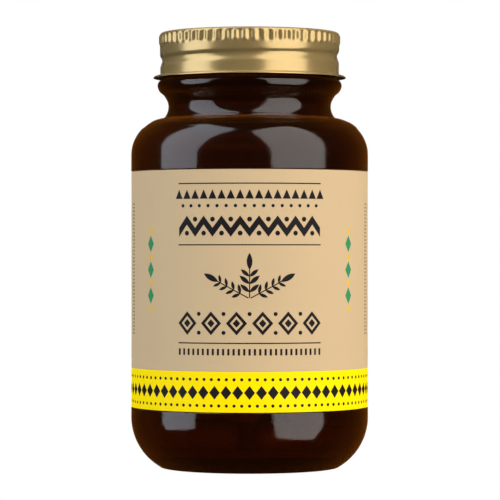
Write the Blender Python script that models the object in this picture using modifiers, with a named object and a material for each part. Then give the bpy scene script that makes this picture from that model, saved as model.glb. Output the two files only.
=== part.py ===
"""Amber glass wide-mouth bottle of capsules with a gold metal screw cap and a wrap-round paper label.

The bottle stands on Z = 0 with its axis on +Z, and its label faces -Y. Sizes below are in millimetres.
"""
import math
import random

import bpy
import numpy as np
from mathutils import Matrix, Vector

MM = 0.001
GAP = 0.25                       # clearance between pieces that touch on the real object
TURN_STEPS = 48                  # facets round the glass and the label
CAP_STEPS = 60                   # facets round the cap, one for each rib

# Glass body
BODY_RADIUS = 30.0
WALL = 3.0
HEEL_CENTRE = (16.0, 12.4)
HEEL_RADIUS = 14.0
HEEL_SWEEP = 61.0                # degrees of the heel's large arc
FOOT_CENTRE = (21.81, 2.0)
FOOT_RADIUS = 2.0
RING_INNER_RADIUS = 18.8         # the flat ring that the bottle stands on ends here
PUSH_UP = 1.1                    # height of the hollow under the base
PUSH_UP_SLOPE = 1.2              # width of the slope up to it
PUSH_UP_FLAT = 9.0               # radius of its level middle
FLOOR_Z = 4.8
SHOULDER_CENTRE = (20.86, 79.07)
SHOULDER_RADII = (9.14, 9.39)
CREASE_RADIUS = 21.6             # where the shoulder meets the neck in a crisp line
INNER_SHOULDER_SHIFT = 0.8       # the glass is a little thicker round the shoulder

# Label panel, sunk so that the label lies flush with the glass
PANEL_RADIUS = 29.55
PANEL_TAPER = 0.3
LABEL_BOTTOM = 15.5
LABEL_TOP = 74.8
LABEL_RADIUS = 29.95
LABEL_THICKNESS = 0.2

# Neck and mouth
NECK_RADIUS = 20.56
NECK_WAIST_Z = 91.4
NECK_UPPER_CURVE = 3.6
NECK_LOWER_CURVE = 4.2
BEAD_CENTRE = (21.8, 96.8)
BEAD_WIDTH = 1.55
BEAD_RISE = 2.6
BEAD_DROP = 2.4
FINISH_RADIUS = 21.0
BORE_RADIUS = 17.5
LIP_Z = 108.6
LIP_ROUND = 0.8
INNER_NECK_RUN = (-2.6, 1.0)     # where the bore opens out into the body, from the waist
INNER_NECK_FLARE = 0.6

# Screw thread, right-handed, shared by the glass and the cap
PITCH = 2.4
GLASS_THREAD_Z = 104.65
GLASS_THREAD_RADIUS = 22.05
GLASS_THREAD_HALF_WIDTH = 0.85
GLASS_THREAD_SHAPE = ((0.4, 0.62), (0.8, 0.32), (1.0, 0.0),
                      (0.8, -0.32), (0.4, -0.62))  # shares of depth and half width
THREAD_LAND = 2.6                # plain wall above and below the middle of the glass thread
GLASS_THREAD_EXTENT = 165.0      # degrees each way from the front
CAP_GROOVE_EXTENT = 150.0
THREAD_FADE = 18.0               # degrees over which a thread runs out
WALL_REACH = 0.6                 # rows this far inside a wall's radius still belong to its thread

# Metal cap
SHEET = 0.3
CAP_TOP = 110.1
CAP_CORNER = 0.75
CAP_PANEL_RADIUS = 13.0
RIB_WALL_RADIUS = 22.74
RIB_WALL_BOTTOM = 106.9
SKIRT_RADIUS = 22.64
SKIRT_TOP = 106.2
GROOVE_RADIUS = 22.17
GROOVE_Z = 103.65
GROOVE_SHAPE = ((0.0, 1.15), (0.12, 0.82), (0.75, 0.48), (1.0, 0.1), (0.97, -0.4),
                (0.6, -1.0), (0.2, -1.6), (0.0, -2.05))  # share of depth, height from the groove's middle
FLARE_SHAPE = ((0.08, 100.1), (0.24, 99.72), (0.6, 99.36))  # outward from the skirt, height
FLANGE_CENTRE = (23.87, 98.72)
FLANGE_RADII = (0.62, 0.5)
RIB_COUNT = 60
RIB_HALF_WIDTH = 0.66
RIB_PROUD = 0.25
RIB_FOOT_SHARE = 0.5             # how much of its section a rib keeps at its lower end
RIB_BOTTOM = 106.7
RIB_TOP = 109.3

# Liner disc between the cap and the mouth
LINER_RADIUS = 21.9
LINER_THICKNESS = 0.7
LINER_EDGE = 0.15

# Capsules
CAPSULE_COUNT = 50
CAPSULE_RADIUS = 3.82
CAPSULE_LENGTH = 21.7
CAPSULE_SIDES = 8
CAPSULE_CLEARANCE = 0.15
SETTLE_DROPS = 50                # places tried for each capsule from above
SETTLE_NUDGES = 300              # small moves tried from the best of them
SETTLE_STEP = 0.3
SETTLE_SEED = 50
STEEPEST_LIE = 25.0              # degrees from level
NUDGE_SHIFT = 1.5
NUDGE_YAW = 0.2
NUDGE_PITCH = 0.12

COLOURS = {
    "amber_glass": ((0.16, 0.045, 0.010, 1.0), 0.05, 0.0),
    "gold_metal": ((0.70, 0.52, 0.27, 1.0), 0.30, 1.0),
    "liner_foam": ((0.86, 0.85, 0.80, 1.0), 0.70, 0.0),
    "label_paper": ((0.66, 0.51, 0.32, 1.0), 0.45, 0.0),
    "capsule_shell": ((0.62, 0.42, 0.20, 1.0), 0.25, 0.0),
}


def clear_scene():
    """Remove whatever the scene holds at the start."""
    for thing in list(bpy.data.objects):
        bpy.data.objects.remove(thing, do_unlink=True)


def make_collection(name):
    """Add a collection to the scene."""
    collection = bpy.data.collections.new(name)
    bpy.context.scene.collection.children.link(collection)
    return collection


def make_material(name):
    """Give a piece its own Principled material in one of the named colours."""
    colour, roughness, metallic = COLOURS[name]
    material = bpy.data.materials.new(name)
    material.use_nodes = True
    shader = material.node_tree.nodes["Principled BSDF"]
    shader.inputs["Base Color"].default_value = colour
    shader.inputs["Roughness"].default_value = roughness
    shader.inputs["Metallic"].default_value = metallic
    return material


def arc(centre, radii, start, end, steps):
    """Points on an ellipse's arc in the profile plane, angles in degrees from +X."""
    angles = [math.radians(start + (end - start) * i / steps) for i in range(steps + 1)]
    return [(centre[0] + radii[0] * math.cos(a), centre[1] + radii[1] * math.sin(a)) for a in angles]


def profile_object(name, points, collection):
    """Make an edge-only object from profile points (radius, height)."""
    mesh = bpy.data.meshes.new(name)
    vertices = [(radius * MM, 0.0, height * MM) for radius, height in points]
    mesh.from_pydata(vertices, [(i, i + 1) for i in range(len(points) - 1)], [])
    thing = bpy.data.objects.new(name, mesh)
    collection.objects.link(thing)
    return thing


def add_screw(thing, steps, angle=2.0 * math.pi):
    """Turn a profile round Z."""
    screw = thing.modifiers.new("turned", "SCREW")
    screw.axis = "Z"
    screw.angle = angle
    screw.steps = steps
    screw.render_steps = steps
    screw.use_merge_vertices = True
    screw.merge_threshold = 0.00001
    screw.use_smooth_shade = True


def apply_modifiers(thing):
    """Replace a mesh with what its modifiers make of it."""
    evaluated = thing.evaluated_get(bpy.context.evaluated_depsgraph_get())
    finished = bpy.data.meshes.new_from_object(evaluated)
    thing.modifiers.clear()
    thing.data = finished


def finish(thing, material_name, sharp_degrees=35.0):
    """Give a piece its material and smooth shading with crisp edges."""
    thing.data.materials.clear()
    thing.data.materials.append(make_material(material_name))
    thing.data.shade_smooth()
    thing.data.set_sharp_from_angle(angle=math.radians(sharp_degrees))


def wind_rows(mesh, lowest, highest, wall_radius, extent):
    """Slope the rows between two heights like a right-hand thread, and fade them out at the back."""
    half = math.radians(extent)
    fade = math.radians(THREAD_FADE)
    for vertex in mesh.vertices:
        x, y, z = vertex.co
        radius = math.hypot(x, y)
        if radius < (wall_radius - WALL_REACH) * MM or not lowest * MM < z < highest * MM:
            continue
        turn = math.atan2(x, -y)
        depth = min(max((half - abs(turn)) / fade, 0.0), 1.0)
        run = min(abs(turn), half * (math.pi - abs(turn)) / (math.pi - half))
        rise = math.copysign(run, turn) * PITCH / (2.0 * math.pi)
        new_radius = wall_radius * MM + (radius - wall_radius * MM) * depth
        vertex.co = (x * new_radius / radius, y * new_radius / radius, z + rise * MM)


def bottle_outside():
    """Outer profile of the glass, from the lip down to the middle of the base."""
    thread = [(FINISH_RADIUS, GLASS_THREAD_Z + THREAD_LAND)]
    thread.append((FINISH_RADIUS, GLASS_THREAD_Z + GLASS_THREAD_HALF_WIDTH))
    depth = GLASS_THREAD_RADIUS - FINISH_RADIUS
    for share, height in GLASS_THREAD_SHAPE:
        thread.append((FINISH_RADIUS + depth * share, GLASS_THREAD_Z + height * GLASS_THREAD_HALF_WIDTH))
    thread.append((FINISH_RADIUS, GLASS_THREAD_Z - GLASS_THREAD_HALF_WIDTH))
    thread.append((FINISH_RADIUS, GLASS_THREAD_Z - THREAD_LAND))
    thread.append((FINISH_RADIUS, BEAD_CENTRE[1] + BEAD_RISE + PANEL_TAPER))
    lip = arc((FINISH_RADIUS - LIP_ROUND, LIP_Z - LIP_ROUND), (LIP_ROUND, LIP_ROUND), 90, 0, 3)
    bead = arc(BEAD_CENTRE, (BEAD_WIDTH, BEAD_RISE), 82, 0, 4)
    bead += arc(BEAD_CENTRE, (BEAD_WIDTH, BEAD_DROP), -20, -80, 3)
    upper_angle = math.degrees(math.asin((BEAD_CENTRE[1] - BEAD_DROP - NECK_WAIST_Z) / NECK_UPPER_CURVE))
    upper = arc((NECK_RADIUS + NECK_UPPER_CURVE, NECK_WAIST_Z), (NECK_UPPER_CURVE, NECK_UPPER_CURVE),
                180 - upper_angle, 180, 3)
    crease_cosine = (NECK_RADIUS + NECK_LOWER_CURVE - CREASE_RADIUS) / NECK_LOWER_CURVE
    lower = arc((NECK_RADIUS + NECK_LOWER_CURVE, NECK_WAIST_Z), (NECK_LOWER_CURVE, NECK_LOWER_CURVE),
                192, 180 + math.degrees(math.acos(crease_cosine)), 3)
    shoulder_start = math.degrees(math.acos((CREASE_RADIUS - SHOULDER_CENTRE[0]) / SHOULDER_RADII[0]))
    shoulder = arc(SHOULDER_CENTRE, SHOULDER_RADII, shoulder_start - 6, 0, 8)
    panel = [(BODY_RADIUS, LABEL_TOP + 2 * PANEL_TAPER), (PANEL_RADIUS, LABEL_TOP + PANEL_TAPER),
             (PANEL_RADIUS, LABEL_BOTTOM - PANEL_TAPER), (BODY_RADIUS, LABEL_BOTTOM - 2 * PANEL_TAPER)]
    heel = arc(HEEL_CENTRE, (HEEL_RADIUS, HEEL_RADIUS), 0, -HEEL_SWEEP, 6)
    foot = arc(FOOT_CENTRE, (FOOT_RADIUS, FOOT_RADIUS), -HEEL_SWEEP - 10, -90, 2)
    base = [(RING_INNER_RADIUS, 0.0), (RING_INNER_RADIUS - PUSH_UP_SLOPE, 0.6 * PUSH_UP),
            (PUSH_UP_FLAT, PUSH_UP), (0.0, PUSH_UP)]
    return lip + thread + bead + upper + lower + shoulder + panel + heel + foot + base


def bottle_inside():
    """Inner profile of the glass, from the middle of the floor up to the mouth."""
    inner_heel = HEEL_RADIUS - WALL
    floor_angle = math.degrees(math.asin((HEEL_CENTRE[1] - FLOOR_Z) / inner_heel))
    heel = arc(HEEL_CENTRE, (inner_heel, inner_heel), -floor_angle, 0, 4)
    shoulder = arc((SHOULDER_CENTRE[0] - INNER_SHOULDER_SHIFT, SHOULDER_CENTRE[1]),
                   (SHOULDER_RADII[0] - WALL + INNER_SHOULDER_SHIFT, SHOULDER_RADII[1] - WALL), 0, 80, 4)
    neck = [(BORE_RADIUS + INNER_NECK_FLARE, NECK_WAIST_Z + INNER_NECK_RUN[0]),
            (BORE_RADIUS, NECK_WAIST_Z + INNER_NECK_RUN[1])]
    mouth = arc((BORE_RADIUS + LIP_ROUND, LIP_Z - LIP_ROUND), (LIP_ROUND, LIP_ROUND), 180, 90, 3)
    return [(0.0, FLOOR_Z)] + heel + shoulder + neck + mouth


def make_bottle(collection):
    """Blow-moulded amber glass bottle with its thread, bead, sunk label panel and standing ring."""
    bottle = profile_object("bottle", bottle_inside() + bottle_outside(), collection)
    add_screw(bottle, TURN_STEPS)
    apply_modifiers(bottle)
    reach = GLASS_THREAD_HALF_WIDTH * 1.02
    wind_rows(bottle.data, GLASS_THREAD_Z - reach, GLASS_THREAD_Z + reach, FINISH_RADIUS, GLASS_THREAD_EXTENT)
    finish(bottle, "amber_glass")
    return bottle


def cap_profile():
    """Outer profile of the cap, from the middle of its top down to the flange's edge."""
    corner = (RIB_WALL_RADIUS - CAP_CORNER, CAP_TOP - CAP_CORNER)
    points = [(0.0, CAP_TOP), (CAP_PANEL_RADIUS, CAP_TOP)]
    points += arc(corner, (CAP_CORNER, CAP_CORNER), 90, 0, 4)
    points += [(RIB_WALL_RADIUS, RIB_WALL_BOTTOM), (SKIRT_RADIUS, SKIRT_TOP)]
    depth = SKIRT_RADIUS - GROOVE_RADIUS
    points += [(SKIRT_RADIUS - depth * share, GROOVE_Z + height) for share, height in GROOVE_SHAPE]
    points += [(SKIRT_RADIUS + outward, height) for outward, height in FLARE_SHAPE]
    points += arc(FLANGE_CENTRE, FLANGE_RADII, 95, -70, 6)
    return points


def make_ribs(collection):
    """Blunt upright ribs round the top of the cap, each sunk into the sheet."""
    middle = 0.5 * (RIB_BOTTOM + RIB_TOP)
    for index in range(RIB_COUNT):
        angle = 2.0 * math.pi * (index + 0.5) / RIB_COUNT
        length = (RIB_TOP - RIB_BOTTOM) * MM
        bpy.ops.mesh.primitive_cylinder_add(vertices=6, radius=RIB_HALF_WIDTH * MM, depth=length)
        rib = bpy.context.object
        rib.name = f"rib_cutter_{index + 1:02d}"
        for vertex in rib.data.vertices:
            share = RIB_FOOT_SHARE if vertex.co.z < 0 else 1.0
            vertex.co.x *= share * RIB_PROUD / RIB_HALF_WIDTH
            vertex.co.y *= share
        place = Matrix.Rotation(angle, 4, "Z") @ Matrix.Translation((RIB_WALL_RADIUS * MM, 0.0, middle * MM))
        rib.matrix_world = place
        rib.hide_render = True
        rib.display_type = "WIRE"
        for owner in list(rib.users_collection):
            owner.objects.unlink(rib)
        collection.objects.link(rib)


def make_cap(parts, cutters):
    """Gold-lacquered metal cap: one pressed sheet with a rolled-in thread, upright ribs and a flared foot."""
    cap = profile_object("cap_shell", cap_profile(), parts)
    add_screw(cap, CAP_STEPS)
    apply_modifiers(cap)
    reach = GROOVE_SHAPE[0][1] * 1.02
    drop = GROOVE_SHAPE[-1][1] * 1.02
    wind_rows(cap.data, GROOVE_Z + drop, GROOVE_Z + reach, SKIRT_RADIUS, CAP_GROOVE_EXTENT)
    wall = cap.modifiers.new("sheet", "SOLIDIFY")
    wall.thickness = SHEET * MM
    wall.offset = -1.0
    wall.use_even_offset = True
    make_ribs(cutters)
    join = cap.modifiers.new("ribs", "BOOLEAN")
    join.operation = "UNION"
    join.operand_type = "COLLECTION"
    join.collection = cutters
    apply_modifiers(cap)
    for rib in list(cutters.objects):
        bpy.data.objects.remove(rib, do_unlink=True)
    finish(cap, "gold_metal", 28.0)
    return cap


def make_liner(collection):
    """Foam liner disc pressed between the cap's top and the lip of the glass."""
    top = CAP_TOP - SHEET - GAP
    bottom = top - LINER_THICKNESS
    points = [(0.0, top), (LINER_RADIUS - LINER_EDGE, top), (LINER_RADIUS, top - LINER_EDGE)]
    points += [(LINER_RADIUS, bottom + LINER_EDGE), (LINER_RADIUS - LINER_EDGE, bottom), (0.0, bottom)]
    liner = profile_object("cap_liner", points, collection)
    add_screw(liner, TURN_STEPS)
    finish(liner, "liner_foam")
    return liner


def make_label(collection):
    """Paper label wrapped round the sunk panel, with its two edges a few millimetres apart at the back."""
    facet = 2.0 * math.pi / TURN_STEPS
    points = [(LABEL_RADIUS, LABEL_TOP), (LABEL_RADIUS, LABEL_BOTTOM)]
    label = profile_object("label", points, collection)
    label.data.transform(Matrix.Rotation(0.5 * math.pi + facet, 4, "Z"))
    add_screw(label, TURN_STEPS - 1, 2.0 * math.pi - facet)
    sheet = label.modifiers.new("paper", "SOLIDIFY")
    sheet.thickness = LABEL_THICKNESS * MM
    sheet.offset = -1.0
    sheet.use_even_offset = True
    finish(label, "label_paper")
    return label


def fits_inside(ends):
    """Whether the round ends of a capsule at these centres (millimetres) are clear of the glass."""
    reach = CAPSULE_RADIUS + GAP
    radius = np.hypot(ends[..., 0], ends[..., 1])
    height = ends[..., 2]
    wall = radius <= BODY_RADIUS - WALL - reach
    floor = height >= FLOOR_Z + reach
    in_corner = (radius > HEEL_CENTRE[0]) & (height < HEEL_CENTRE[1])
    corner = np.hypot(radius - HEEL_CENTRE[0], height - HEEL_CENTRE[1]) <= HEEL_RADIUS - WALL - reach
    return wall & floor & (~in_corner | corner)


def axis_distance(centre, direction, centres, directions, half):
    """Shortest distance between capsule axes of equal half length."""
    offset = centre - centres
    along = (direction * directions).sum(-1)
    first = (direction * offset).sum(-1)
    second = (directions * offset).sum(-1)
    spread = np.maximum(1.0 - along * along, 1e-9)
    s = np.clip((along * second - first) / spread, -half, half)
    t = np.clip(along * s + second, -half, half)
    s = np.clip(along * t - first, -half, half)
    apart = offset + s[..., None] * direction - t[..., None] * directions
    return np.sqrt((apart * apart).sum(-1))


def axis_direction(yaw, pitch):
    """Unit vector along a capsule's axis."""
    flat = math.cos(pitch)
    return np.array((flat * math.cos(yaw), flat * math.sin(yaw), math.sin(pitch)))


def lower_down(pose, start, placed):
    """Height to which a capsule held at this (x, y, yaw, pitch) sinks from a start height, or None."""
    x, y, yaw, pitch = pose
    half = 0.5 * CAPSULE_LENGTH - CAPSULE_RADIUS
    direction = axis_direction(yaw, pitch)
    levels = np.arange(start, FLOOR_Z, -SETTLE_STEP)
    place = np.empty((len(levels), 3))
    place[:, 0] = x
    place[:, 1] = y
    place[:, 2] = levels
    free = fits_inside(place + half * direction) & fits_inside(place - half * direction)
    if len(placed):
        apart = axis_distance(place[:, None], direction, placed[None, :, :3], placed[None, :, 3:], half)
        free &= (apart > 2.0 * CAPSULE_RADIUS + CAPSULE_CLEARANCE).all(axis=1)
    blocked = np.flatnonzero(~free)
    lowest = (blocked[0] if len(blocked) else len(levels)) - 1
    return levels[lowest] if lowest >= 0 else None


def settle_capsules():
    """Drop the capsules one by one and nudge each until it finds no lower place. Rows are centre and axis."""
    draw = random.Random(SETTLE_SEED)
    room = BODY_RADIUS - WALL - CAPSULE_RADIUS - GAP
    placed = np.zeros((0, 6))
    for _ in range(CAPSULE_COUNT):
        start = CAPSULE_LENGTH + (placed[:, 2].max() if len(placed) else 0.0)
        best_pose = None
        best_height = start
        for _ in range(SETTLE_DROPS):
            distance = room * math.sqrt(draw.random())
            bearing = draw.uniform(0.0, 2.0 * math.pi)
            pose = (distance * math.cos(bearing), distance * math.sin(bearing), draw.uniform(0.0, math.pi),
                    math.radians(draw.uniform(-STEEPEST_LIE, STEEPEST_LIE)))
            height = lower_down(pose, start, placed)
            if height is not None and height < best_height:
                best_pose, best_height = pose, height
        for _ in range(SETTLE_NUDGES):
            pose = (best_pose[0] + draw.gauss(0.0, NUDGE_SHIFT), best_pose[1] + draw.gauss(0.0, NUDGE_SHIFT),
                    best_pose[2] + draw.gauss(0.0, NUDGE_YAW), best_pose[3] + draw.gauss(0.0, NUDGE_PITCH))
            height = lower_down(pose, best_height, placed)
            if height is not None and height < best_height:
                best_pose, best_height = pose, height
        centre = (best_pose[0], best_pose[1], best_height)
        placed = np.vstack((placed, np.concatenate((centre, axis_direction(best_pose[2], best_pose[3])))))
    return placed


def capsule_profile():
    """Outline of a capsule from its upper tip to its lower tip."""
    half = 0.5 * CAPSULE_LENGTH - CAPSULE_RADIUS
    upper = arc((0.0, half), (CAPSULE_RADIUS, CAPSULE_RADIUS), 90, 0, 2)
    lower = arc((0.0, -half), (CAPSULE_RADIUS, CAPSULE_RADIUS), 0, -90, 2)
    upper[0] = (0.0, upper[0][1])
    lower[-1] = (0.0, lower[-1][1])
    return upper + lower


def make_capsules(collection):
    """Loose hard-shell capsules lying in a heap on the bottle's floor."""
    for index, row in enumerate(settle_capsules()):
        capsule = profile_object(f"capsule_{index + 1:02d}", capsule_profile(), collection)
        add_screw(capsule, CAPSULE_SIDES)
        finish(capsule, "capsule_shell")
        turn = Vector(row[3:]).to_track_quat("Z", "Y").to_matrix().to_4x4()
        capsule.matrix_world = Matrix.Translation(Vector(row[:3]) * MM) @ turn


def main():
    clear_scene()
    parts = make_collection("capsule_bottle")
    cutters = make_collection("cutters")
    make_bottle(parts)
    make_label(parts)
    make_liner(parts)
    make_cap(parts, cutters)
    make_capsules(parts)


main()
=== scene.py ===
import math
import random

import bpy
import numpy as np
from mathutils import Matrix, Vector


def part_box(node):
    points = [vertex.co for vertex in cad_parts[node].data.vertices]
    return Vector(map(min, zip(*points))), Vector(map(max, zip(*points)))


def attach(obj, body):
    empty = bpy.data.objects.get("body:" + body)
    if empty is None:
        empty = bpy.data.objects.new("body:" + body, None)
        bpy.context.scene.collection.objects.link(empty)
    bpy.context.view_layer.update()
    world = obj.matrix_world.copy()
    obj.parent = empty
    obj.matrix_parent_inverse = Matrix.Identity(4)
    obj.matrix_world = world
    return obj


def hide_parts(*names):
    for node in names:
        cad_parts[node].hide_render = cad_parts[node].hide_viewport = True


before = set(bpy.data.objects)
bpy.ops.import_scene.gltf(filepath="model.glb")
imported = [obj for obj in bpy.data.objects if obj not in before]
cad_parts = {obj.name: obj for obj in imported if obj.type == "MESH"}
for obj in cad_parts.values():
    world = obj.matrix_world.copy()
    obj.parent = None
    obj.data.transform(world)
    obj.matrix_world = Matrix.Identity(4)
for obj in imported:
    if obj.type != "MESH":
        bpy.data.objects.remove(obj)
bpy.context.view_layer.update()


# Bottle: amber glass blown in a two-part mould, so it has a fine seam on each side, a sunk panel for the
# label and a knurled ring to stand on. Its neck ends in a bead, one turn of thread and a fire-polished lip.
# Heights and radii are in millimetres.
MM = 0.001


def arc(centre, radii, start, end, steps):
    """Points on an ellipse's arc in the profile plane, angles in degrees from +X."""
    turns = [math.radians(start + (end - start) * i / steps) for i in range(steps + 1)]
    return [(centre[0] + radii[0] * math.cos(t), centre[1] + radii[1] * math.sin(t)) for t in turns]


def turn_profile(name, points, steps, angle=2.0 * math.pi):
    """Extrude one vertex along a profile of (radius, height) and spin it round the bottle's axis."""
    bpy.ops.object.select_all(action="DESELECT")
    bpy.ops.mesh.primitive_plane_add(size=MM)
    piece = bpy.context.object
    piece.name = name
    piece.data.name = name
    bpy.ops.object.mode_set(mode="EDIT")
    bpy.ops.mesh.merge(type="CENTER")
    bpy.ops.transform.translate(value=(points[0][0] * MM, 0.0, points[0][1] * MM))
    for (radius, height), (next_radius, next_height) in zip(points[:-1], points[1:]):
        step = ((next_radius - radius) * MM, 0.0, (next_height - height) * MM)
        bpy.ops.mesh.extrude_vertices_move(TRANSFORM_OT_translate={"value": step})
    bpy.ops.mesh.select_all(action="SELECT")
    bpy.ops.mesh.spin(steps=steps, angle=angle, center=(0.0, 0.0, 0.0), axis=(0.0, 0.0, 1.0))
    bpy.ops.mesh.select_all(action="SELECT")
    bpy.ops.mesh.remove_doubles(threshold=0.000002)
    bpy.ops.mesh.normals_make_consistent(inside=False)
    bpy.ops.object.mode_set(mode="OBJECT")
    return piece


def reshape(piece, rule):
    """Move vertices by a rule on their radius, bearing from the front and height (millimetres, radians)."""
    points = np.empty(len(piece.data.vertices) * 3, np.float32)
    piece.data.vertices.foreach_get("co", points)
    x, y, z = points.reshape(-1, 3).T.astype(float)
    radius, bearing, height = rule(np.hypot(x, y) / MM, np.arctan2(x, -y), z / MM)
    moved = np.stack((radius * np.sin(bearing), -radius * np.cos(bearing), height), axis=1) * MM
    piece.data.vertices.foreach_set("co", moved.astype(np.float32).ravel())
    piece.data.update()


def smooth(piece, degrees):
    """Shade a piece smooth, with crisp edges above an angle."""
    bpy.ops.object.select_all(action="DESELECT")
    piece.select_set(True)
    bpy.context.view_layer.objects.active = piece
    bpy.ops.object.shade_smooth_by_angle(angle=math.radians(degrees))


def fade_in(value, start, end):
    """0 before start, 1 after end, and a soft step between."""
    share = np.clip((value - start) / (end - start), 0.0, 1.0)
    return share * share * (3.0 - 2.0 * share)


BODY_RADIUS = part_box("bottle")[1].x / MM
LIP_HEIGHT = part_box("bottle")[1].z / MM
LABEL_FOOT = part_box("label")[0].z / MM
LABEL_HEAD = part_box("label")[1].z / MM
LABEL_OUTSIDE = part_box("label")[1].x / MM
GLASS_STEPS = 192
WALL = 3.0
PANEL_RADIUS = LABEL_OUTSIDE - 0.4
PANEL_FILLET = 0.1
PANEL_EASE = 0.06                # how far the panel's edge is rounded at each end of its step
SHOULDER_CENTRE = (20.86, 79.07)
SHOULDER_RADII = (BODY_RADIUS - SHOULDER_CENTRE[0], 9.39)
CREASE_RADIUS = 21.5
WAIST_RADIUS = 20.53
WAIST_HEIGHT = 91.4
WAIST_CURVES = (3.6, 4.2)        # radius of the cove above and below the waist
COVE_SWEEP = 31.0
BEAD_HEIGHT = 96.8
BEAD_RADIUS = 23.3
BEAD_ROUND = 1.4                 # above the bead's widest line
BEAD_UNDERSIDE = (3.3, 2.9)      # below it
BEAD_SWEEP = 57.0
BEAD_FILLET = 0.6                # between the bead and the finish
NOTCH = ((21.7, 94.29), (21.63, 94.21))      # the crisp line under the bead
FINISH_RADIUS = 21.0
BORE_RADIUS = 17.5
LIP_ROUND = 0.8
HEEL_CENTRE = (BODY_RADIUS - 14.6, 12.9)
HEEL_RADIUS = 14.6
HEEL_SWEEP = 59.0
HOLLOW_CENTRE = (BODY_RADIUS - 14.0, 12.4)
HOLLOW_RADIUS = 11.0
INNER_SHOULDER_SHIFT = 0.8       # the glass is a little thicker round the shoulder
INNER_NECK_DROP = 1.6            # where the bore opens out, below the waist
INNER_NECK_RADII = (3.2, 3.4)
FOOT_CENTRE = (21.81, 2.0)
FOOT_RADIUS = 2.0
RING_INNER_RADIUS = 18.8
PUSH_UP = 1.1
PUSH_UP_SLOPE = ((0.1, 0.0), (-0.4, 0.2), (-1.2, 0.6), (-2.4, 0.8))      # outward from the ring, share of the rise
BASE_GROOVE_RADIUS = 12.0
BASE_GROOVE_HALF_WIDTH = 0.2
BASE_GROOVE_DEPTH = 0.12
BASE_GROOVE_SHARE = 0.93
CENTRE_FLAT_RADIUS = 6.0         # of the push-up, and of the floor inside
FLOOR_HEIGHT = 4.8
PITCH = 2.4
THREAD_HEIGHT = 104.65
THREAD_CREST = 22.05
THREAD_HALF_WIDTH = 0.85
THREAD_EXTENT = math.radians(165.0)
THREAD_FADE = math.radians(18.0)
THREAD_ROWS = 12
SEAM_PROUD = 0.05
SEAM_HALF_BEARING = 0.01
SEAM_ENDS = (2.0, 98.0)
SEAM_TO_LABEL = 1.5
OUTER_BODY_LIMIT = 28.5          # what lies further out belongs to the outside
OUTER_NECK_LIMIT = 20.3
RING_KNURL = 0.18
RING_KNURL_STEPS = 3
WAVE_START_RADIUS = 12.0
WAVES = ((0.14, 3.0, 0.11, 0.0), (0.08, 5.0, -0.23, 1.0))      # depth, lobes round, twist with height, phase


def panel_edge(height, side):
    """The rounded step from the body to the sunk panel. Side is 1 at the label's head and -1 at its foot."""
    steps = ((BODY_RADIUS, 3.0), (BODY_RADIUS - PANEL_EASE, 2.0),
             (PANEL_RADIUS + PANEL_EASE, 0.7), (PANEL_RADIUS, -1.0))
    return [(radius, height + side * share * PANEL_FILLET) for radius, share in steps]


def glass_outside():
    """Outline from the lip down to the middle of the base."""
    points = arc((FINISH_RADIUS - LIP_ROUND, LIP_HEIGHT - LIP_ROUND), (LIP_ROUND, LIP_ROUND), 90, 0, 8)
    for i in range(THREAD_ROWS + 1):
        turn = math.pi * i / THREAD_ROWS
        outward = (THREAD_CREST - FINISH_RADIUS) * math.sin(turn) ** 1.5
        points.append((FINISH_RADIUS + outward, THREAD_HEIGHT + THREAD_HALF_WIDTH * math.cos(turn)))
    fillet_centre = (FINISH_RADIUS + BEAD_FILLET, BEAD_HEIGHT + BEAD_ROUND + BEAD_FILLET)
    points += arc(fillet_centre, (BEAD_FILLET, BEAD_FILLET), 180, 250, 4)
    points += arc((BEAD_RADIUS - BEAD_ROUND, BEAD_HEIGHT), (BEAD_ROUND, BEAD_ROUND), 84, 0, 12)
    points += arc((BEAD_RADIUS - BEAD_UNDERSIDE[0], BEAD_HEIGHT), BEAD_UNDERSIDE, -6, -BEAD_SWEEP, 10)
    upper, lower = WAIST_CURVES
    points += NOTCH
    points += arc((WAIST_RADIUS + upper, WAIST_HEIGHT), (upper, upper), 180 - COVE_SWEEP, 180, 9)
    end = math.degrees(math.acos((WAIST_RADIUS + lower - CREASE_RADIUS) / lower))
    points += arc((WAIST_RADIUS + lower, WAIST_HEIGHT), (lower, lower), 184, 180 + end, 10)
    start = math.degrees(math.acos((CREASE_RADIUS - SHOULDER_CENTRE[0]) / SHOULDER_RADII[0]))
    points += arc(SHOULDER_CENTRE, SHOULDER_RADII, start - 1.0, 0, 32)
    points += panel_edge(LABEL_HEAD, 1.0)
    points += [(PANEL_RADIUS, LABEL_HEAD + (LABEL_FOOT - LABEL_HEAD) * i / 8) for i in range(1, 8)]
    points += reversed(panel_edge(LABEL_FOOT, -1.0))
    points += arc(HEEL_CENTRE, (HEEL_RADIUS, HEEL_RADIUS), 0, -HEEL_SWEEP, 20)
    points += arc(FOOT_CENTRE, (FOOT_RADIUS, FOOT_RADIUS), -HEEL_SWEEP - 5, -90, 5)
    points += [(RING_INNER_RADIUS + outward, share * PUSH_UP) for outward, share in PUSH_UP_SLOPE]
    level, half = BASE_GROOVE_SHARE * PUSH_UP, BASE_GROOVE_HALF_WIDTH
    points += [(BASE_GROOVE_RADIUS + half, level), (BASE_GROOVE_RADIUS, level + BASE_GROOVE_DEPTH),
               (BASE_GROOVE_RADIUS - half, level)]
    return points + [(CENTRE_FLAT_RADIUS, PUSH_UP), (0.0, PUSH_UP)]


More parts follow.
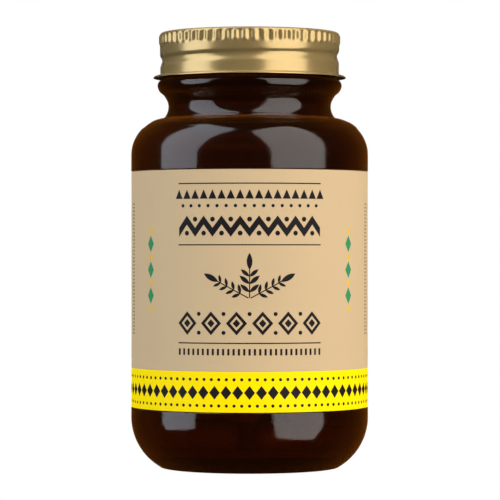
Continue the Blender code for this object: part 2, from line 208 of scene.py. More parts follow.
def glass_inside():
    """Outline from the middle of the floor up to the mouth."""
    drop = math.degrees(math.asin((HOLLOW_CENTRE[1] - FLOOR_HEIGHT) / HOLLOW_RADIUS))
    points = [(0.0, FLOOR_HEIGHT), (CENTRE_FLAT_RADIUS, FLOOR_HEIGHT)]
    points += arc(HOLLOW_CENTRE, (HOLLOW_RADIUS, HOLLOW_RADIUS), -drop, 0, 14)
    side = [HOLLOW_CENTRE[1] + (SHOULDER_CENTRE[1] - HOLLOW_CENTRE[1]) * i / 10 for i in range(1, 10)]
    points += [(BODY_RADIUS - WALL, height) for height in side]
    across, up = SHOULDER_CENTRE
    radii = (SHOULDER_RADII[0] - WALL + INNER_SHOULDER_SHIFT, SHOULDER_RADII[1] - WALL)
    points += arc((across - INNER_SHOULDER_SHIFT, up), radii, 0, 84, 16)
    neck_centre = (BORE_RADIUS + INNER_NECK_RADII[0], WAIST_HEIGHT - INNER_NECK_DROP)
    points += arc(neck_centre, INNER_NECK_RADII, 230, 180, 6)
    points += arc((BORE_RADIUS + LIP_ROUND, LIP_HEIGHT - LIP_ROUND), (LIP_ROUND, LIP_ROUND), 180, 90, 8)
    return points[:-1]


def glass_relief(radius, bearing, height):
    """The thread's slope, the mould seams, the ring's knurls and the uneven inner wall."""
    on_thread = (radius > FINISH_RADIUS - 0.05) & (abs(height - THREAD_HEIGHT) < THREAD_HALF_WIDTH * 1.02)
    depth = np.clip((THREAD_EXTENT - abs(bearing)) / THREAD_FADE, 0.0, 1.0)
    run = np.minimum(abs(bearing), THREAD_EXTENT * (math.pi - abs(bearing)) / (math.pi - THREAD_EXTENT))
    radius = np.where(on_thread, FINISH_RADIUS + (radius - FINISH_RADIUS) * depth, radius)
    height = np.where(on_thread, height + np.copysign(run, bearing) * PITCH / (2.0 * math.pi), height)
    outside = radius > np.where(height > LABEL_HEAD + 5.0, OUTER_NECK_LIMIT, OUTER_BODY_LIMIT)
    on_seam = abs(abs(bearing) - 0.5 * math.pi) < SEAM_HALF_BEARING
    low, high = SEAM_ENDS
    above_label = (height > LABEL_HEAD + SEAM_TO_LABEL) & (height < high)
    below_label = (height < LABEL_FOOT - SEAM_TO_LABEL) & (height > low)
    seam = outside & on_seam & (above_label | below_label) & (radius < BODY_RADIUS - PANEL_EASE)
    radius = np.where(seam, radius + SEAM_PROUD, radius)
    column = np.round(bearing / (2.0 * math.pi / GLASS_STEPS)).astype(int)
    on_ring = (height < 0.01) & (radius > RING_INNER_RADIUS) & (radius < FOOT_CENTRE[0] + 0.1)
    height = np.where(on_ring & (column % RING_KNURL_STEPS == 1), height + RING_KNURL, height)
    inside = (radius > WAVE_START_RADIUS) & (radius < BODY_RADIUS - WALL + 0.3)
    inside &= (height > FLOOR_HEIGHT - 0.1) & (height < WAIST_HEIGHT - 4.0)
    wave = sum(depth * np.sin(lobes * bearing + twist * height + phase) for depth, lobes, twist, phase in WAVES)
    return np.where(inside, radius + wave * (radius / BODY_RADIUS), radius), bearing, height


class Shade:
    """One socket of a material's node tree. Arithmetic on it adds Math nodes."""

    def __init__(self, tree, socket=None):
        self.tree = tree
        self.socket = socket

    def node(self, kind, settings=None, inputs=None, output=0):
        """Add a node, give it its settings and then its inputs, and return one of its outputs."""
        made = self.tree.nodes.new(kind)
        for name, value in (settings or {}).items():
            setattr(made, name, value)
        for name, value in (inputs or {}).items():
            if isinstance(value, Shade):
                self.tree.links.new(value.socket, made.inputs[name])
            else:
                made.inputs[name].default_value = value
        return Shade(self.tree, made.outputs[output])

    def math(self, operation, *others):
        """A Math node on this and any other values."""
        return self.node("ShaderNodeMath", {"operation": operation}, dict(enumerate((self, *others))))

    def mix(self, first, second):
        """The first colour where this is 0 and the second where it is 1."""
        return self.node("ShaderNodeMix", {"data_type": "RGBA"}, {0: self, 6: first, 7: second}, 2)

    def __add__(self, other):
        return self.math("ADD", other)

    __radd__ = __add__

    def __sub__(self, other):
        return self.math("SUBTRACT", other)

    def __rsub__(self, other):
        return (self * -1.0) + other

    def __mul__(self, other):
        return self.math("MULTIPLY", other)

    __rmul__ = __mul__

    def __truediv__(self, other):
        return self.math("DIVIDE", other)

    def __lt__(self, other):
        return self.math("LESS_THAN", other)

    def __gt__(self, other):
        return self.math("GREATER_THAN", other)

    def __abs__(self):
        return self.math("ABSOLUTE")


def start_material(name, **constants):
    """A Principled material with its constant sockets set. Returns it, its shader and a Shade to build on."""
    material = bpy.data.materials.new(name)
    material.use_nodes = True
    shader = material.node_tree.nodes["Principled BSDF"]
    for socket, value in constants.items():
        shader.inputs[socket.replace("_", " ")].default_value = value
    return material, shader, Shade(material.node_tree)


def connect(shade, target):
    """Link a Shade to a shader's input."""
    shade.tree.links.new(shade.socket, target)


def amber_glass():
    """Dark amber glass, coloured through its thickness, with faint ripples left by the mould. It also gives off a
    faint brown glow of its own, painted light that lifts the dark glass.
    """
    # The emission colour is painted light: a faint brown glow in place of light carried through the glass.
    material, shader, start = start_material(
        "amber_glass", Base_Color=(1.0, 0.97, 0.93, 1.0), IOR=1.52, Transmission_Weight=1.0,
        Sheen_Weight=0.26, Sheen_Roughness=0.4, Sheen_Tint=(1.0, 0.29, 0.02, 1.0),
        Emission_Strength=1.0, Emission_Color=(0.0042, 0.0009, 0.0002, 1.0))
    place = start.node("ShaderNodeTexCoord", output=3)
    ripple = start.node("ShaderNodeTexNoise", {},
                        {"Vector": place, "Scale": 45.0, "Detail": 1.0, "Roughness": 0.4})
    normal = start.node("ShaderNodeBump", {}, {"Strength": 0.012, "Distance": 0.002, "Height": ripple})
    connect(normal, shader.inputs["Normal"])
    haze = start.node("ShaderNodeTexNoise", {}, {"Vector": place, "Scale": 120.0, "Detail": 3.0})
    connect(0.08 + haze * 0.05, shader.inputs["Roughness"])
    depth = start.node("ShaderNodeVolumeAbsorption", {}, {"Color": (0.52, 0.26, 0.0, 1.0), "Density": 1200.0})
    connect(depth, material.node_tree.nodes["Material Output"].inputs["Volume"])
    return material


bottle = turn_profile("bottle_glass", glass_inside() + glass_outside(), GLASS_STEPS)
reshape(bottle, glass_relief)
bottle.data.materials.append(amber_glass())
smooth(bottle, 30.0)
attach(bottle, "bottle_body")
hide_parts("bottle")


# Capsules: two-part hard shells, a wider cap pushed over a narrower body and held by a pressed ring.
# They are clear, and the fine brown root powder that fills them shows through. One is modelled and copied to
# where each one lies in the heap.
CAPSULE_RADIUS = 3.82
CAPSULE_HALF = 10.85
CAPSULE_BODY_RADIUS = 3.66
CAPSULE_STEPS = 24
LOCK_RING = ((4.4, 0.0), (4.0, 0.09), (3.6, 0.09), (3.2, 0.0))      # height from the middle, depth
CAPSULE_MOUTH = ((-1.1, 0.0), (-1.25, 0.05))      # where its cap ends


def capsule_outline():
    """Outline from the cap's tip down to the body's tip."""
    cap_end = CAPSULE_HALF - CAPSULE_RADIUS
    points = arc((0.0, cap_end), (CAPSULE_RADIUS, CAPSULE_RADIUS), 90, 0, 8)
    points += [(CAPSULE_RADIUS - depth, height) for height, depth in LOCK_RING + CAPSULE_MOUTH]
    points.append((CAPSULE_BODY_RADIUS, CAPSULE_MOUTH[-1][0] - 0.03))
    body_end = CAPSULE_BODY_RADIUS - CAPSULE_HALF
    points += arc((0.0, body_end), (CAPSULE_BODY_RADIUS, CAPSULE_BODY_RADIUS), 0, -90, 8)
    points[0] = (0.0, CAPSULE_HALF)
    points[-1] = (0.0, -CAPSULE_HALF)
    return points


def capsule_shell():
    """Clear shell over brown powder, darker where cap and body overlap. The UV map's V runs lengthwise."""
    material, shader, start = start_material("capsule_shell", Roughness=0.16, IOR=1.45, Coat_Weight=0.4,
                                             Coat_Roughness=0.05)
    along = start.node("ShaderNodeUVMap", {"uv_map": "along"})
    height = start.node("ShaderNodeSeparateXYZ", {}, {0: along}, 1)
    place = start.node("ShaderNodeTexCoord", output=3)
    grain = start.node("ShaderNodeTexNoise", {}, {"Vector": place, "Scale": 2600.0, "Detail": 2.0})
    clump = start.node("ShaderNodeTexNoise", {}, {"Vector": place, "Scale": 500.0, "Detail": 2.0})
    powder = (grain * 0.7 + clump * 0.3).mix((0.36, 0.22, 0.10, 1.0), (0.74, 0.55, 0.33, 1.0))
    overlap = (height > 0.44) * (height < 0.62)
    tip = (height < 0.035) + (height > 0.95)
    shade = (overlap * 0.35 + tip * 0.3).mix(powder, (0.30, 0.17, 0.07, 1.0))
    connect(shade, shader.inputs["Base Color"])
    return material


def lay_capsule(name, node, mesh, roll):
    """Put a copy of the capsule where a CAD capsule lies."""
    vertices = np.array([v.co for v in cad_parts[node].data.vertices])
    centre = 0.5 * (vertices.min(axis=0) + vertices.max(axis=0))
    axis = Vector(np.linalg.svd(vertices - centre, full_matrices=False)[2][0])
    copy = bpy.data.objects.new(name, mesh.copy())
    bpy.context.scene.collection.objects.link(copy)
    copy.data.transform(Matrix.Rotation(roll, 4, "Z"))
    copy.data.transform(axis.to_track_quat("Z", "Y").to_matrix().to_4x4())
    copy.data.transform(Matrix.Translation(centre))
    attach(copy, "bottle_body")
    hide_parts(node)


model = turn_profile("capsule_model", capsule_outline(), CAPSULE_STEPS)
along = model.data.uv_layers.new(name="along")
for corner in model.data.loops:
    tip_height = model.data.vertices[corner.vertex_index].co.z / MM
    along.data[corner.index].uv = (0.5, 0.5 + 0.5 * tip_height / CAPSULE_HALF)
model.data.materials.append(capsule_shell())
smooth(model, 35.0)
rolls = random.Random(11)
for node in sorted(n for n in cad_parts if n.startswith("capsule_")):
    lay_capsule(node + "_shell", node, model.data, rolls.uniform(0.0, 2.0 * math.pi))
bpy.data.objects.remove(model, do_unlink=True)


# Label: one strip of satin paper glued round the sunk panel, its rounded ends a few millimetres apart at the
# back. It is printed tan with a yellow foot band, and carries plain ornaments. Their places are in
# millimetres round the label from the front, and in height.
LABEL_THICKNESS = 0.2
LABEL_STEPS = 188
LABEL_GAP = math.radians(7.5)    # the bare strip at the back, from the middle towards -X
LABEL_CORNER = 0.6
BAND_TOP = 25.4
TAN = (0.68, 0.512, 0.295)
YELLOW = (1.0, 0.82, 0.0)
INK = (0.016, 0.013, 0.015, 1.0)
GREEN = (0.045, 0.30, 0.12, 1.0)
OCHRE = (0.85, 0.55, 0.03, 1.0)
BAND_PAINTED_GLOW = (0.16, 0.088, 0.0, 1.0)      # painted light: the yellow band gives off a glow of its own to look brighter
PRINT_REACH = 18.6               # half the width of the rows on the front
RULE_FEET = (71.2, 56.2, 32.2)
RULE_WIDTH = 0.3
TRIANGLE_FOOT = 67.6
TRIANGLE_HEIGHT = 2.3
TRIANGLE_PITCH = 2.3
DOT_ROW = 65.9
ZIGZAG_FOOT = 59.4
ZIGZAG_PITCH = 4.6
ZIGZAG_SLOPE = 1.3
SPRAY_FOOT = 43.4
SPRAY_LEAVES = ((1.4, 3.0), (3.4, 3.2), (5.2, 2.8))
SIDE_SPRAY_LEAVES = ((2.2, 2.4), (4.0, 2.3), (5.9, 2.2), (7.7, 2.1))
STEM_HALF_WIDTH = 0.14
TIP_LEAF = (4.2, 0.7)            # length and half width
LEAF_LEAN = 50.0
LEAF_SLIMNESS = 0.17
LOZENGE_ROW = 37.2
LOZENGE_PITCH = 6.4
LOZENGE_GAP = (0.36, 0.62)       # the light ring in each lozenge, as shares of its size
TICK_ENDS = (29.4, 31.0)
TICK_PITCH = 1.3
BEAD_COLUMN = 28.6
BEAD_MIDDLE = 50.2
BEAD_PITCH = 6.4
BEAD_REACH = 10.2
SIDE_LINES = 40.0
SIDE_LINE_ENDS = (34.0, 67.0)
BAND_MIDDLE = 20.3
BACK_PANEL_SIDES = (52.0, 80.0)
BACK_PANEL_ENDS = (31.0, 71.0)


def within(value, low, high):
    """1 between two limits and 0 elsewhere."""
    return (value > low) * (value < high)


def repeat(value, pitch):
    """Distance from the middle of the nearest of evenly spaced places."""
    return abs((value / pitch + 0.5).math("FRACT") - 0.5) * pitch


def leaflet(across, up, foot, turn, length, width):
    """1 inside a pointed leaf that grows from its foot, turned clockwise from upright in degrees."""
    lean = math.radians(turn)
    sideways = (across - foot[0]) * math.cos(lean) - (up - foot[1]) * math.sin(lean)
    along = (across - foot[0]) * math.sin(lean) + (up - foot[1]) * math.cos(lean)
    middle = along / (0.5 * length) - 1.0
    return abs(sideways) / width + middle * middle < 1.0


def disc(across, up, radius):
    """1 inside a round dot."""
    return across * across + up * up < radius * radius


def sprig(across, up, foot, turn, leaves, length):
    """A stem with pairs of leaves and one at its tip. Each pair is (distance from the foot, leaf length)."""
    lean = math.radians(turn)
    sideways = abs((across - foot[0]) * math.cos(lean) - (up - foot[1]) * math.sin(lean))
    along = (across - foot[0]) * math.sin(lean) + (up - foot[1]) * math.cos(lean)
    shape = (sideways < STEM_HALF_WIDTH) * within(along, 0.0, length)
    shape += leaflet(sideways, along, (0.0, length - 0.6), 0.0, *TIP_LEAF)
    for distance, size in leaves:
        shape += leaflet(sideways, along, (0.0, distance), LEAF_LEAN, size, LEAF_SLIMNESS * size)
    return shape


def zigzag_frieze(across, up):
    """A bold zigzag with a dot in every notch."""
    half = 0.5 * ZIGZAG_PITCH
    bars = abs(up - ZIGZAG_FOOT - repeat(across, ZIGZAG_PITCH) * ZIGZAG_SLOPE) < 1.1
    dots = disc(repeat(across, ZIGZAG_PITCH), up - ZIGZAG_FOOT - 3.2, 0.6)
    dots += disc(repeat(across - half, ZIGZAG_PITCH), up - ZIGZAG_FOOT + 0.2, 0.6)
    return bars * (abs(across) < 8 * half) + dots * (abs(across) < 17.0)


def back_panel(mirrored, up):
    """A ruled panel: a thin frame, a row of lozenges and plain lines."""
    left, right = BACK_PANEL_SIDES
    foot, head = BACK_PANEL_ENDS
    panel = within(mirrored, left, right) * within(up, foot, head)
    panel -= (within(mirrored, left + RULE_WIDTH, right - RULE_WIDTH)
              * within(up, foot + RULE_WIDTH, head - RULE_WIDTH))
    lozenges = repeat(mirrored - 0.5 * (left + right), 3.2) / 1.3 + abs(up - head + 5.4) / 2.6 < 1.0
    lines = (repeat(up, 2.1) < 0.17) * within(up, foot + 2.0, head - 10.5)
    return panel + within(mirrored, left + 2.5, right - 2.5) * (lozenges + lines)


def dark_print(across, up):
    """The near-black ornaments on the front and round the foot band, and the panels towards the back."""
    mirrored = abs(across)
    triangles = repeat(across, TRIANGLE_PITCH) / 1.05 + (up - TRIANGLE_FOOT) / TRIANGLE_HEIGHT < 1.0
    ink = triangles * (up > TRIANGLE_FOOT) * (mirrored < PRINT_REACH + 0.95)
    ink += zigzag_frieze(across, up)
    rows = disc(repeat(across - 0.5 * TRIANGLE_PITCH, TRIANGLE_PITCH), up - DOT_ROW, 0.42)
    for foot in RULE_FEET:
        rows += within(up, foot, foot + RULE_WIDTH)
    lozenge = repeat(across - 0.5 * LOZENGE_PITCH, LOZENGE_PITCH) / 2.6 + abs(up - LOZENGE_ROW) / 2.9
    rows += (lozenge < 1.0) * (1.0 - within(lozenge, *LOZENGE_GAP))
    rows += (repeat(across, TICK_PITCH) < 0.28) * within(up, *TICK_ENDS)
    ink += rows * (mirrored < PRINT_REACH)
    ink += disc(repeat(across, LOZENGE_PITCH), abs(up - LOZENGE_ROW) - 2.3, 0.5) * (mirrored < 17.0)
    ink += sprig(across, up, (0.0, SPRAY_FOOT), 0.0, SPRAY_LEAVES, 7.4)
    ink += sprig(mirrored, up, (0.3, SPRAY_FOOT), 62.0, SIDE_SPRAY_LEAVES, 9.0)
    ink += (abs(abs(mirrored - SIDE_LINES) - 0.75) < 0.32) * (repeat(up, 0.9) < 0.22) * within(up, *SIDE_LINE_ENDS)
    ink += disc(repeat(across, 1.9), abs(up - BAND_MIDDLE) - 3.2, 0.4)
    ink += repeat(across, 2.9) / 1.35 + abs(up - BAND_MIDDLE) / 1.7 < 1.0
    return (ink + back_panel(mirrored, up)).math("MINIMUM", 1.0)


def printed_label():
    """Printed paper, its ornaments worked out from the distance round the label and the height."""
    material, shader, start = start_material("label_paper", Specular_IOR_Level=0.07)
    place = start.node("ShaderNodeTexCoord", output=3)
    x, y, z = (start.node("ShaderNodeSeparateXYZ", {}, {0: place}, i) for i in range(3))
    across = x.math("ARCTAN2", y * -1.0) * LABEL_OUTSIDE
    up = z / MM
    side = abs(across) - BEAD_COLUMN
    beads = abs(up - BEAD_MIDDLE) < BEAD_REACH
    green = (abs(side) / 1.3 + repeat(up - BEAD_MIDDLE, BEAD_PITCH) / 2.1 < 1.0) * beads
    ochre = disc(side, repeat(up - BEAD_MIDDLE - 0.5 * BEAD_PITCH, BEAD_PITCH), 0.62) * beads
    grain = start.node("ShaderNodeTexNoise", {}, {"Vector": place, "Scale": 1500.0, "Detail": 3.0})
    tone = start.node("ShaderNodeTexNoise", {}, {"Vector": place, "Scale": 60.0, "Detail": 2.0})
    paper = (tone * 0.5 + grain * 0.5).mix((*(0.96 * c for c in TAN), 1.0), (*(1.04 * c for c in TAN), 1.0))
    band = up < BAND_TOP
    ink = dark_print(across, up)
    colour = green.mix(band.mix(paper, (*YELLOW, 1.0)), GREEN)
    colour = ink.mix(ochre.mix(colour, OCHRE), INK)
    connect(colour, shader.inputs["Base Color"])
    # The yellow band's emission is painted light, a glow that brightens it beyond what the lamps give.
    connect((band - band * ink).mix((0.0, 0.0, 0.0, 1.0), BAND_PAINTED_GLOW), shader.inputs["Emission Color"])
    shader.inputs["Emission Strength"].default_value = 1.0
    connect(0.52 + grain * 0.08 - ink * 0.06, shader.inputs["Roughness"])
    relief = grain * 0.4 + ink * 0.5
    normal = start.node("ShaderNodeBump", {}, {"Strength": 0.12, "Distance": 0.00005, "Height": relief})
    connect(normal, shader.inputs["Normal"])
    return material


def paper_edge():
    """The label's cut edge and back: plain white paper with a faint fibre."""
    material, shader, start = start_material("paper_edge", Roughness=0.8)
    place = start.node("ShaderNodeTexCoord", output=3)
    fibre = start.node("ShaderNodeTexNoise", {}, {"Vector": place, "Scale": 2500.0, "Detail": 2.0})
    connect(fibre.mix((0.74, 0.70, 0.62, 1.0), (0.84, 0.81, 0.74, 1.0)), shader.inputs["Base Color"])
    return material


def corner_ends(piece):
    """Round the strip's four corners."""
    bpy.ops.object.mode_set(mode="EDIT")
    bpy.ops.mesh.select_all(action="DESELECT")
    bpy.ops.object.mode_set(mode="OBJECT")
    reach = max(abs(math.atan2(v.co.x, -v.co.y)) for v in piece.data.vertices) - 0.001
    for vertex in piece.data.vertices:
        at_end = abs(math.atan2(vertex.co.x, -vertex.co.y)) > reach
        at_edge = min(abs(vertex.co.z / MM - LABEL_HEAD), abs(vertex.co.z / MM - LABEL_FOOT)) < 0.01
        vertex.select = at_end and at_edge
    bpy.ops.object.mode_set(mode="EDIT")
    bpy.ops.mesh.bevel(offset=LABEL_CORNER * MM, segments=4, affect="VERTICES")
    bpy.ops.object.mode_set(mode="OBJECT")


label_rows = [(LABEL_OUTSIDE, LABEL_HEAD + (LABEL_FOOT - LABEL_HEAD) * i / 24) for i in range(25)]
label = turn_profile("label_paper", label_rows, LABEL_STEPS, 2.0 * math.pi - LABEL_GAP)
label.data.transform(Matrix.Rotation(0.5 * math.pi + LABEL_GAP, 4, "Z"))
corner_ends(label)
label.data.materials.append(printed_label())
label.data.materials.append(paper_edge())
wall = label.modifiers.new("thickness", "SOLIDIFY")
wall.thickness = LABEL_THICKNESS * MM
wall.offset = -1.0
wall.material_offset = 1
wall.material_offset_rim = 1
bpy.ops.object.modifier_apply(modifier=wall.name)
smooth(label, 30.0)
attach(label, "bottle_body")
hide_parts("label")


# Liner: a disc of closed-cell foam with a smooth skin, cut a little wider than the mouth and pushed up into
# the cap. The lip leaves a round dent in it.
LINER_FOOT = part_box("cap_liner")[0].z / MM
LINER_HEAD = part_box("cap_liner")[1].z / MM
LINER_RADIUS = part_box("cap_liner")[1].x / MM
LINER_EDGE = 0.2
LIP_DENT = ((20.4, 0.0), (20.1, 0.1), (18.6, 0.1), (18.3, 0.0))      # radius, depth


def liner_foam():
    """White foam with fine closed cells."""
    material, shader, start = start_material("liner_foam", Roughness=0.65)
    place = start.node("ShaderNodeTexCoord", output=3)
    cells = start.node("ShaderNodeTexVoronoi", {"feature": "DISTANCE_TO_EDGE"},
                       {"Vector": place, "Scale": 2200.0})
    connect(cells.mix((0.78, 0.76, 0.70, 1.0), (0.90, 0.89, 0.85, 1.0)), shader.inputs["Base Color"])
    normal = start.node("ShaderNodeBump", {}, {"Strength": 0.3, "Distance": 0.0001, "Height": cells})
    connect(normal, shader.inputs["Normal"])
    return material


liner_outline = [(0.0, LINER_HEAD), (LINER_RADIUS - LINER_EDGE, LINER_HEAD),
                 (LINER_RADIUS - 0.05, LINER_HEAD - 0.05), (LINER_RADIUS, LINER_HEAD - LINER_EDGE),
                 (LINER_RADIUS, LINER_FOOT + LINER_EDGE), (LINER_RADIUS - 0.05, LINER_FOOT + 0.05),
                 (LINER_RADIUS - LINER_EDGE, LINER_FOOT)]
liner_outline += [(radius, LINER_FOOT + depth) for radius, depth in LIP_DENT]
liner_outline += [(9.0, LINER_FOOT), (0.0, LINER_FOOT)]
liner = turn_profile("liner_disc", liner_outline, 96)
liner.data.materials.append(liner_foam())
smooth(liner, 30.0)
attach(liner, "liner_body")
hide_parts("cap_liner")


# Cap: pressed from one round of tinplate lacquered gold, knurled under its top edge, with the thread rolled
# in below and a thin flared foot. It screws on to the bottle.
CAP_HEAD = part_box("cap_shell")[1].z / MM
CAP_CORNER = 0.75
CAP_STEPS = 480
TOP_PANEL = (8.0, 17.0, 18.6)        # radii of rings on the flat panel, which lies a little low
TOP_PANEL_DEPTH = 0.02
TOP_RING = ((18.9, 0.15), (19.6, 0.18), (19.9, 0.05), (20.3, 0.0))      # radius, depth
TOP_DULL_DEPTH = 0.4
SHEET = 0.22
KNURL_RADIUS = 22.74
KNURL_CREST = 22.98
KNURL_VALLEY = 22.52
KNURL_COUNT = 60
KNURL_ENDS = (106.7, 109.3)
KNURL_ROWS = 8
SKIRT_RADIUS = 22.64
GROOVE_HEIGHT = 103.65
GROOVE_EXTENT = math.radians(150.0)
GROOVE_DEPTH = 0.47
GROOVE_UPPER_SIDE = (0.1, 1.15)      # heights from the groove's middle between which each side rises
GROOVE_LOWER_SIDE = (-1.95, -0.2)
GROOVE_REACH = (-2.05, 1.55)
GROOVE_STEPS = 15
GROOVE_BROW = 0.08                   # how far the sheet still stands out just above the groove
FLARE_ROWS = (100.8, 100.2, 99.6)
FLARE_CENTRE = (SKIRT_RADIUS, 98.68)
FLARE_RADII = (1.75, 0.62)


def groove_side(height):
    """Radius of the rolled-in thread's section at a height from its middle."""
    sunk = GROOVE_DEPTH * fade_in(height, *GROOVE_LOWER_SIDE) * (1.0 - fade_in(height, *GROOVE_UPPER_SIDE))
    return SKIRT_RADIUS - sunk + GROOVE_BROW * fade_in(height, 0.9, 1.5)


def cap_outline():
    """Outline of the cap's outside, from the middle of the top to the foot's edge."""
    corner = (KNURL_RADIUS - CAP_CORNER, CAP_HEAD - CAP_CORNER)
    points = [(radius, CAP_HEAD - TOP_PANEL_DEPTH) for radius in (0.0, *TOP_PANEL)]
    points += [(radius, CAP_HEAD - depth) for radius, depth in TOP_RING]
    points += arc(corner, (CAP_CORNER, CAP_CORNER), 90, 0, 10)
    points += [(KNURL_RADIUS, CAP_HEAD - 1.1 - 0.28 * i) for i in range(KNURL_ROWS)]
    points += [(KNURL_RADIUS, KNURL_ENDS[0]), (KNURL_RADIUS, 106.2), (KNURL_RADIUS - 0.01, 105.6)]
    low, high = GROOVE_REACH
    heights = [high + (low - high) * i / GROOVE_STEPS for i in range(GROOVE_STEPS + 1)]
    points += [(groove_side(height), GROOVE_HEIGHT + height) for height in heights]
    points += [(SKIRT_RADIUS, height) for height in FLARE_ROWS] + [(SKIRT_RADIUS + 0.03, 99.37)]
    return points + arc(FLARE_CENTRE, FLARE_RADII, 77, -8, 9)


def cap_relief(radius, bearing, height):
    """The rolled-in thread's slope and the upright knurls."""
    foot, head = GROOVE_REACH
    on_groove = (radius > 20.0) & (height < GROOVE_HEIGHT + head + 0.02) & (height > GROOVE_HEIGHT + foot - 0.01)
    depth = np.clip((GROOVE_EXTENT - abs(bearing)) / THREAD_FADE, 0.0, 1.0)
    run = np.minimum(abs(bearing), GROOVE_EXTENT * (math.pi - abs(bearing)) / (math.pi - GROOVE_EXTENT))
    radius = np.where(on_groove, SKIRT_RADIUS + (radius - SKIRT_RADIUS) * depth, radius)
    height = np.where(on_groove, height + np.copysign(run, bearing) * PITCH / (2.0 * math.pi), height)
    low, high = KNURL_ENDS
    crest = 0.5 - 0.5 * np.cos(bearing * KNURL_COUNT)
    ends = fade_in(height, low - 0.1, low + 0.8) * (1.0 - fade_in(height, high - 0.15, high + 0.35))
    knurled = radius + (KNURL_VALLEY + (KNURL_CREST - KNURL_VALLEY) * crest - KNURL_RADIUS) * ends
    return np.where(radius > KNURL_RADIUS - 0.5, knurled, radius), bearing, height


def gold_lacquer():
    """Gold-lacquered tinplate with fine turning lines, soft blotches in the lacquer and a duller top."""
    material, shader, start = start_material(
        "gold_metal", Metallic=0.55, Coat_Weight=0.2, Coat_Roughness=0.12,
        Sheen_Weight=0.1, Sheen_Roughness=0.4, Sheen_Tint=(1.0, 0.8, 0.5, 1.0))
    place = start.node("ShaderNodeTexCoord", output=3)
    x, y, z = (start.node("ShaderNodeSeparateXYZ", {}, {0: place}, i) for i in range(3))
    rings = start.node("ShaderNodeCombineXYZ", {}, {0: x * 0.015, 1: y * 0.015, 2: z})
    lines = start.node("ShaderNodeTexNoise", {},
                       {"Vector": rings, "Scale": 5200.0, "Detail": 3.0, "Roughness": 0.65})
    blotch = start.node("ShaderNodeTexNoise", {}, {"Vector": place, "Scale": 160.0, "Detail": 3.0})
    gold = blotch.mix((0.46, 0.333, 0.132, 1.0), (0.515, 0.378, 0.154, 1.0))
    connect(gold, shader.inputs["Base Color"])
    top = z > (CAP_HEAD - TOP_DULL_DEPTH) * MM
    connect(0.20 + lines * 0.06 + blotch * 0.04 + top * 0.22, shader.inputs["Roughness"])
    normal = start.node("ShaderNodeBump", {}, {"Strength": 0.014, "Distance": 0.0001, "Height": lines})
    connect(normal, shader.inputs["Normal"])
    return material


cap = turn_profile("cap_metal", cap_outline(), CAP_STEPS)
reshape(cap, cap_relief)
cap.data.materials.append(gold_lacquer())
wall = cap.modifiers.new("sheet", "SOLIDIFY")
wall.thickness = SHEET * MM
wall.offset = -1.0
bpy.ops.object.modifier_apply(modifier=wall.name)
smooth(cap, 40.0)
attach(cap, "cap_body")
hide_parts("cap_shell")


# Studio: a white surround and floor that show as plain white, two tall softboxes in front at the left and
# right, weak lights behind, at the right edge and overhead, and a long-lens camera level with the middle.
# The surround only shows to the camera, and the backdrop only through the glass.
EYE_HEIGHT = 0.05508
EYE_DISTANCE = 0.720
EYE_OFFSET = 0.0001
LENS = 204.3
SURROUND_RADIUS = 4.0
BACKDROP_RADIUS = 3.9
CARD_SHARE = (0.992, 0.93)       # how far behind a point must lie for the card to be full, and gone
CARD_LEVEL = 0.06
AMBIENT = 0.12


def plain_white(name, colour=(1.0, 1.0, 1.0)):
    """A surface that gives its own light, for the surround and the softboxes."""
    material = bpy.data.materials.new(name)
    material.use_nodes = True
    material.node_tree.nodes.clear()
    start = Shade(material.node_tree)
    light = start.node("ShaderNodeEmission", {}, {"Color": (*colour, 1.0), "Strength": 1.0})
    out = material.node_tree.nodes.new("ShaderNodeOutputMaterial")
    connect(light, out.inputs["Surface"])
    return material


def towards(azimuth, elevation):
    """Unit vector from the bottle, azimuth in degrees from the camera's side towards +X."""
    turn, rise = math.radians(azimuth), math.radians(elevation)
    return Vector((math.sin(turn) * math.cos(rise), -math.cos(turn) * math.cos(rise), math.sin(rise)))


def softbox(name, facing, distance, corners, colour):
    """A glowing panel that fills the view between four corners, on a plane that faces the bottle."""
    bpy.ops.object.select_all(action="DESELECT")
    bpy.ops.mesh.primitive_plane_add(size=1.0)
    panel = bpy.context.object
    panel.name = name
    axis = towards(*facing)
    order = (0, 1, 3, 2)
    for index, (azimuth, elevation) in zip(order, corners):
        ray = towards(azimuth, elevation)
        panel.data.vertices[index].co = Vector((0.0, 0.0, EYE_HEIGHT)) + ray * (distance / ray.dot(axis))
    bpy.ops.object.mode_set(mode="EDIT")
    bpy.ops.mesh.select_all(action="SELECT")
    bpy.ops.mesh.bevel(offset=0.08, segments=6, affect="VERTICES")
    bpy.ops.object.mode_set(mode="OBJECT")
    panel.data.materials.append(plain_white(name + "_glow", colour))
    panel.visible_camera = False
    panel.visible_shadow = False


def dome(name, radius, material):
    """A big sphere round the whole studio."""
    bpy.ops.object.select_all(action="DESELECT")
    bpy.ops.mesh.primitive_uv_sphere_add(segments=64, ring_count=32, radius=radius)
    shell = bpy.context.object
    shell.name = name
    shell.data.materials.append(material)
    shell.visible_diffuse = False
    shell.visible_glossy = False
    shell.visible_shadow = False
    return shell


def glass_backdrop():
    """What shows through the glass: bright all round but for a dark card straight behind the bottle."""
    material = plain_white("glass_backdrop_white")
    start = Shade(material.node_tree)
    place = start.node("ShaderNodeTexCoord", output=3)
    behind = start.node("ShaderNodeSeparateXYZ", {}, {0: place}, 1)
    full, gone = CARD_SHARE
    level = start.node("ShaderNodeMapRange", {"interpolation_type": "SMOOTHSTEP"},
                       {"Value": behind / BACKDROP_RADIUS, "From Min": full, "From Max": gone,
                        "To Min": CARD_LEVEL, "To Max": 1.0})
    connect(level, material.node_tree.nodes["Emission"].inputs["Strength"])
    return material


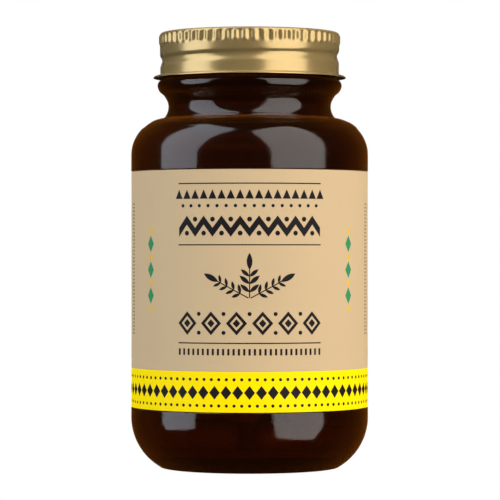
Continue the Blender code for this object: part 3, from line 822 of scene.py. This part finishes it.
def floor_white():
    """White from above and clear from below, so that the base can be looked at."""
    material = plain_white("floor_white")
    nodes, links = material.node_tree.nodes, material.node_tree.links
    under = Shade(material.node_tree).node("ShaderNodeNewGeometry", output=6)
    clear = Shade(material.node_tree).node("ShaderNodeBsdfTransparent")
    either = Shade(material.node_tree).node("ShaderNodeMixShader", {}, {0: under, 2: clear})
    links.new(nodes["Emission"].outputs[0], either.socket.node.inputs[1])
    connect(either, nodes["Material Output"].inputs["Surface"])
    return material


surround = dome("surround", SURROUND_RADIUS, plain_white("surround_white"))
surround.visible_transmission = False
seen_through = dome("glass_backdrop", BACKDROP_RADIUS, glass_backdrop())
seen_through.visible_camera = False

bpy.ops.mesh.primitive_plane_add(size=6.0, location=(0.0, 0.0, -0.0002))
floor = bpy.context.object
floor.name = "floor"
floor.data.materials.append(floor_white())
floor.visible_diffuse = False
floor.visible_glossy = False
floor.visible_transmission = False

left_corners = ((-55.0, -16.2), (-90.3, -16.2), (-113.0, 66.3), (-24.3, 69.4))
right_corners = ((28.0, -32.3), (71.0, -32.6), (97.0, 68.4), (1.2, 62.5))
softbox("softbox_left", (-70.0, 30.0), 1.0, left_corners, (2.4, 2.5, 2.75))
softbox("softbox_right", (45.0, 20.0), 1.0, right_corners, (2.64, 2.49, 2.39))


def soft_light(name, facing, distance, size, power, colour=(1.0, 1.0, 1.0)):
    """A square area light that faces the bottle and shows in no reflection."""
    lamp = bpy.data.lights.new(name, "AREA")
    lamp.shape = "SQUARE"
    lamp.size = size
    lamp.energy = power
    lamp.color = colour
    holder = bpy.data.objects.new(name, lamp)
    bpy.context.scene.collection.objects.link(holder)
    ray = towards(*facing)
    holder.location = Vector((0.0, 0.0, EYE_HEIGHT)) + ray * distance
    holder.rotation_euler = ray.to_track_quat("Z", "Y").to_euler()
    holder.visible_glossy = False
    holder.visible_transmission = False


soft_light("fill_behind", (180.0, 24.0), 1.1, 1.2, 14.0)
soft_light("rim_right", (140.0, 20.0), 1.2, 0.6, 2.8, (1.0, 0.92, 0.82))
soft_light("overhead", (0.0, 68.0), 1.1, 0.6, 1.0)

world = bpy.data.worlds.new("studio")
bpy.context.scene.world = world
world.use_nodes = True
ambient = Shade(world.node_tree).node("ShaderNodeLightPath", output=2) * AMBIENT
connect(ambient, world.node_tree.nodes["Background"].inputs["Strength"])
world.node_tree.nodes["Background"].inputs["Color"].default_value = (1.0, 1.0, 1.0, 1.0)

camera_data = bpy.data.cameras.new("camera")
camera_data.lens = LENS
camera_data.sensor_width = 36.0
camera_data.clip_end = 20.0
camera = bpy.data.objects.new("camera", camera_data)
bpy.context.scene.collection.objects.link(camera)
camera.location = (EYE_OFFSET, -EYE_DISTANCE, EYE_HEIGHT)
camera.rotation_euler = (0.5 * math.pi, 0.0, 0.0)
bpy.context.scene.camera = camera
bpy.context.scene.view_settings.view_transform = "Standard"
bpy.context.scene.view_settings.look = "None"
